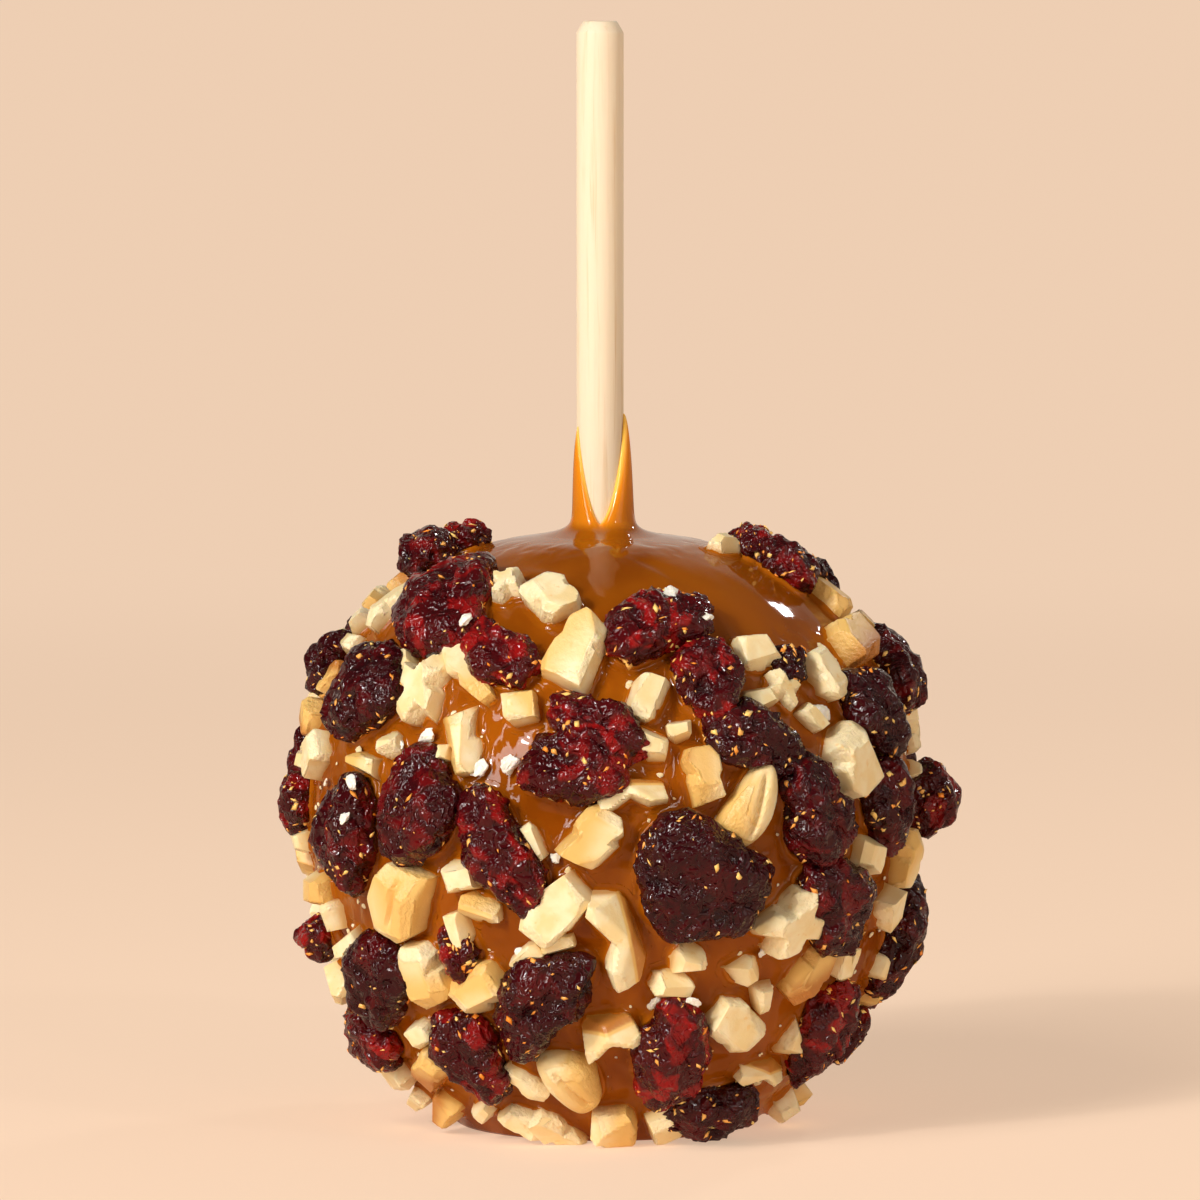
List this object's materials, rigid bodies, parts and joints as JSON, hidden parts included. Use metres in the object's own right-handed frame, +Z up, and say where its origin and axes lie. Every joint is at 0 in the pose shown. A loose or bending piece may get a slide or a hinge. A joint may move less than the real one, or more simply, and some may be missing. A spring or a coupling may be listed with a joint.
{
  "type": "caramel apple",
  "caption": "Apple dipped in caramel on a round wooden stick, its side rolled in dried cranberries and chopped nuts, with a bare glossy crown.",
  "frame": {"origin": "centre of the flat foot that the apple rests on, on the axis of the stick", "axes": "+Z up along the stick, -Y towards the side shown in the picture, +X to the right of that side"},
  "size_m": [0.0901, 0.0882, 0.1473],
  "materials": {
    "stick": "bare pale birch dowel, fine straight grain, satin",
    "caramel": "clear glossy brown caramel, lighter and more orange where it is thin",
    "cranberry": "dark ruby dried fruit, wrinkled, with a wet gloss",
    "chopped_nut": "pale cream to golden broken nut, some edges roasted brown"
  },
  "bodies": {
    "root": {"stick": "stick", "caramel_apple": "caramel", "cranberry_01": "cranberry", "cranberry_02": "cranberry", "cranberry_03": "cranberry", "cranberry_04": "cranberry", "cranberry_05": "cranberry", "cranberry_06": "cranberry", "cranberry_07": "cranberry", "cranberry_08": "cranberry", "cranberry_09": "cranberry", "cranberry_10": "cranberry", "cranberry_11": "cranberry", "cranberry_12": "cranberry", "cranberry_13": "cranberry", "cranberry_14": "cranberry", "cranberry_15": "cranberry", "cranberry_16": "cranberry", "cranberry_17": "cranberry", "cranberry_18": "cranberry", "cranberry_19": "cranberry", "cranberry_20": "cranberry", "cranberry_21": "cranberry", "cranberry_22": "cranberry", "cranberry_23": "cranberry", "cranberry_24": "cranberry", "cranberry_25": "cranberry", "cranberry_26": "cranberry", "cranberry_27": "cranberry", "cranberry_28": "cranberry", "cranberry_29": "cranberry", "cranberry_30": "cranberry", "cranberry_31": "cranberry", "cranberry_32": "cranberry", "cranberry_33": "cranberry", "cranberry_34": "cranberry", "cranberry_35": "cranberry", "cranberry_36": "cranberry", "cranberry_37": "cranberry", "cranberry_38": "cranberry", "cranberry_39": "cranberry", "cranberry_40": "cranberry", "cranberry_41": "cranberry", "cranberry_42": "cranberry", "cranberry_43": "cranberry", "cranberry_44": "cranberry", "cranberry_45": "cranberry", "cranberry_46": "cranberry", "cranberry_47": "cranberry", "cranberry_48": "cranberry", "cranberry_49": "cranberry", "cranberry_50": "cranberry", "cranberry_51": "cranberry", "cranberry_52": "cranberry", "cranberry_53": "cranberry", "cranberry_54": "cranberry", "cranberry_55": "cranberry", "cranberry_56": "cranberry", "cranberry_57": "cranberry", "cranberry_58": "cranberry"}
  },
  "joints": []
}
